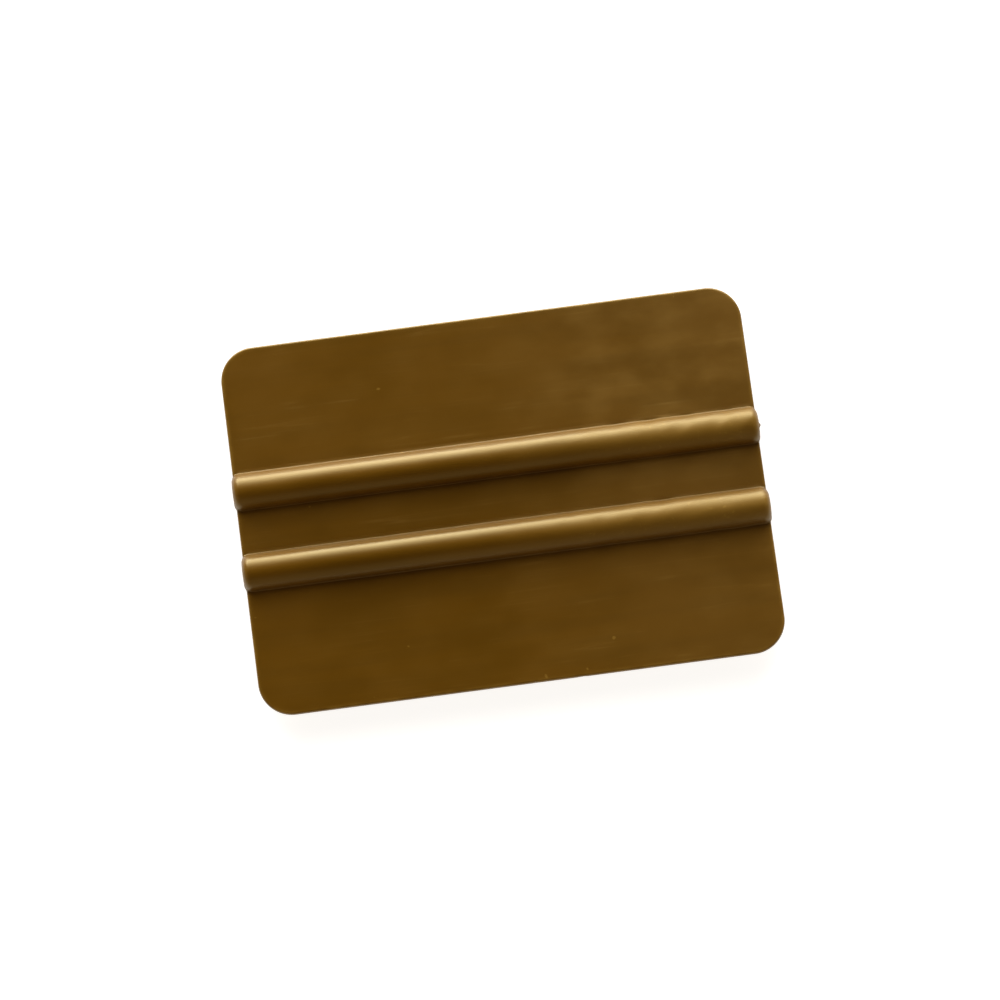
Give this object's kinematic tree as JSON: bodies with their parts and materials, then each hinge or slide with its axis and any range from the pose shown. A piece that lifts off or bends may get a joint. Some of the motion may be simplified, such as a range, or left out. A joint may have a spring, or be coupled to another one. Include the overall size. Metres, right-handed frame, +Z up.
{
  "type": "squeegee applicator",
  "caption": "Flat moulded plastic hand applicator for adhesive film, with round finger ribs across both faces and a straight working edge on each long side.",
  "frame": {"origin": "middle of the underside, level with the lowest line of the ribs that it rests on", "axes": "+X along the working edges and ribs, +Y across them towards one working edge, +Z up out of the face"},
  "size_m": [0.1024, 0.072, 0.0075],
  "materials": {
    "gold_nylon": "dark gold brown moulded nylon, satin with a soft sheen, cloudy and lightly scuffed"
  },
  "bodies": {
    "root": {"applicator_body": "gold_nylon"}
  },
  "joints": []
}
